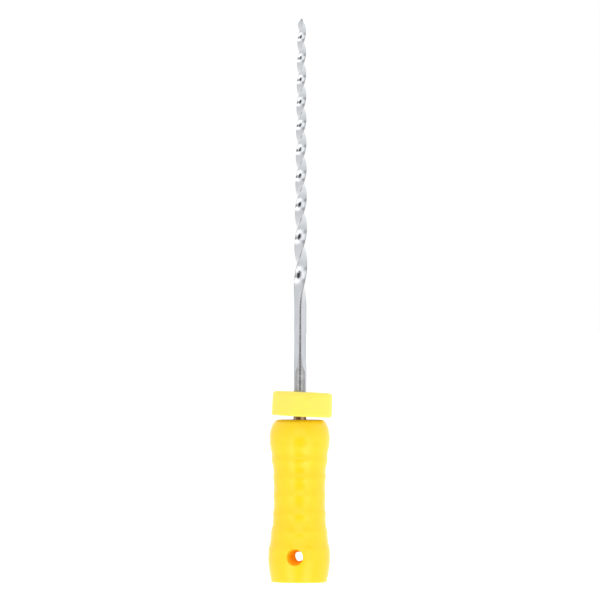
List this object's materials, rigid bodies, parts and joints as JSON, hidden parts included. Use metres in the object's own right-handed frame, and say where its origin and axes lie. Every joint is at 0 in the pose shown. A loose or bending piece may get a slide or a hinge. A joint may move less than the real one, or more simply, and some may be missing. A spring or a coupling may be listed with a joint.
{
  "type": "endodontic file",
  "caption": "Hand endodontic file: twisted tapered steel blade in a waisted plastic handle with grip rings and a thread hole, with a sliding silicone depth stop.",
  "frame": {"origin": "centre of the handle's flat end, which the file stands on", "axes": "+Z along the instrument from the handle to the cutting tip, -Y towards the front, where one cutting edge of the straight ground part lies, +X to the right"},
  "size_m": [0.0039, 0.0038, 0.0351],
  "materials": {
    "steel": "ground and drawn stainless steel, fine lengthwise grain, bright",
    "handle_plastic": "moulded opaque yellow plastic, satin gloss, soft grip rings",
    "silicone": "soft lemon-yellow silicone, smooth, slightly matte"
  },
  "bodies": {
    "file_body": {"handle": "handle_plastic", "file_blade": "steel"},
    "stop": {"silicone_stop": "silicone"}
  },
  "joints": [
    {"name": "stop_slide", "type": "slide", "parent": "file_body", "child": "stop", "axis": [0, 0, 1], "range_m": [-0.00012, 0.022]}
  ]
}
